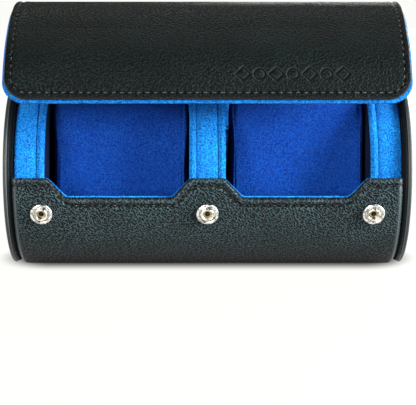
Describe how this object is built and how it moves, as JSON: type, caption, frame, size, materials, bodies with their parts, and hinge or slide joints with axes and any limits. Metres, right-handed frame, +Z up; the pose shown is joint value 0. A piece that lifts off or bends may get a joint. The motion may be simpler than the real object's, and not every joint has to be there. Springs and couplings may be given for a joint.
{
  "type": "watch travel case",
  "caption": "Barrel-shaped leather travel case for watches, with a hinged lid that closes on press studs, a notched front panel, suede-lined bays and lift-out cushions.",
  "frame": {"origin": "middle of the flat that the barrel rests on, on the table", "axes": "+X along the barrel towards its right end as seen from the front, -Y out of the front panel towards the user, +Z up; the lid stands open as pictured"},
  "size_m": [0.18, 0.0969, 0.12],
  "materials": {
    "leather": "near-black pebbled leather, satin, soft rounded grain",
    "suede": "bright blue suede with a short velvety nap",
    "side_suede": "bright blue suede over soft padding",
    "cushion_suede": "blue suede, short nap, soft",
    "foam": "cream upholstery foam, open cell",
    "board": "grey-brown fibreboard stiffener",
    "chrome_snap": "polished nickel-chrome plated press-stud parts",
    "brass_rivet": "plain brass rivets"
  },
  "bodies": {
    "case": {"barrel_leather": "leather", "barrel_board": "board", "barrel_lining": "suede", "end_board_left": "suede", "end_board_right": "suede", "end_cap_left": "leather", "end_cap_right": "leather", "side_pad_left": "side_suede", "side_pad_right": "side_suede", "cheek_left_outer": "suede", "cheek_left_inner": "suede", "cheek_right_inner": "suede", "cheek_right_outer": "suede", "divider_core": "suede", "snap_sockets": "chrome_snap", "snap_springs": "chrome_snap", "snap_rivets": "brass_rivet", "hinge_strip_barrel": "leather"},
    "lid": {"hinge_strip_lid": "leather", "lid_leather": "leather", "lid_board": "board", "lid_lining": "suede"},
    "lip": {"lip_leather": "leather", "lip_board": "board", "lip_lining": "suede", "snap_studs": "chrome_snap", "snap_stud_caps": "brass_rivet"},
    "cushion_left": {"cushion_left_cover": "cushion_suede", "cushion_left_foam": "foam"},
    "cushion_left_face": {"cushion_left_front_cover": "cushion_suede", "cushion_left_front_foam": "foam"},
    "cushion_right": {"cushion_right_cover": "cushion_suede", "cushion_right_foam": "foam"},
    "cushion_right_face": {"cushion_right_front_cover": "cushion_suede", "cushion_right_front_foam": "foam"}
  },
  "joints": [
    {"name": "lid_hinge", "type": "hinge", "parent": "case", "child": "lid", "pos_m": [0, 0.04255, 0.05056], "axis": [-1, 0, 0], "range_deg": [-39.7, 120]},
    {"name": "lip_flex", "type": "hinge", "parent": "lid", "child": "lip", "pos_m": [0, -0.027, 0.10997], "axis": [-1, 0, 0], "range_deg": [-7.6, 0], "stiffness_Nm_per_rad": 0.3, "springref_deg": 2.86},
    {"name": "cushion_left_lift", "type": "slide", "parent": "case", "child": "cushion_left", "axis": [0, 0, 1], "range_m": [0, 0.034]},
    {"name": "cushion_right_lift", "type": "slide", "parent": "case", "child": "cushion_right", "axis": [0, 0, 1], "range_m": [0, 0.034]},
    {"name": "cushion_left_squeeze", "type": "slide", "parent": "cushion_left", "child": "cushion_left_face", "axis": [0, 0.9848, -0.1736], "range_m": [0, 0.005], "stiffness_N_per_m": 1500},
    {"name": "cushion_right_squeeze", "type": "slide", "parent": "cushion_right", "child": "cushion_right_face", "axis": [0, 0.9848, -0.1736], "range_m": [0, 0.005], "stiffness_N_per_m": 1500}
  ]
}
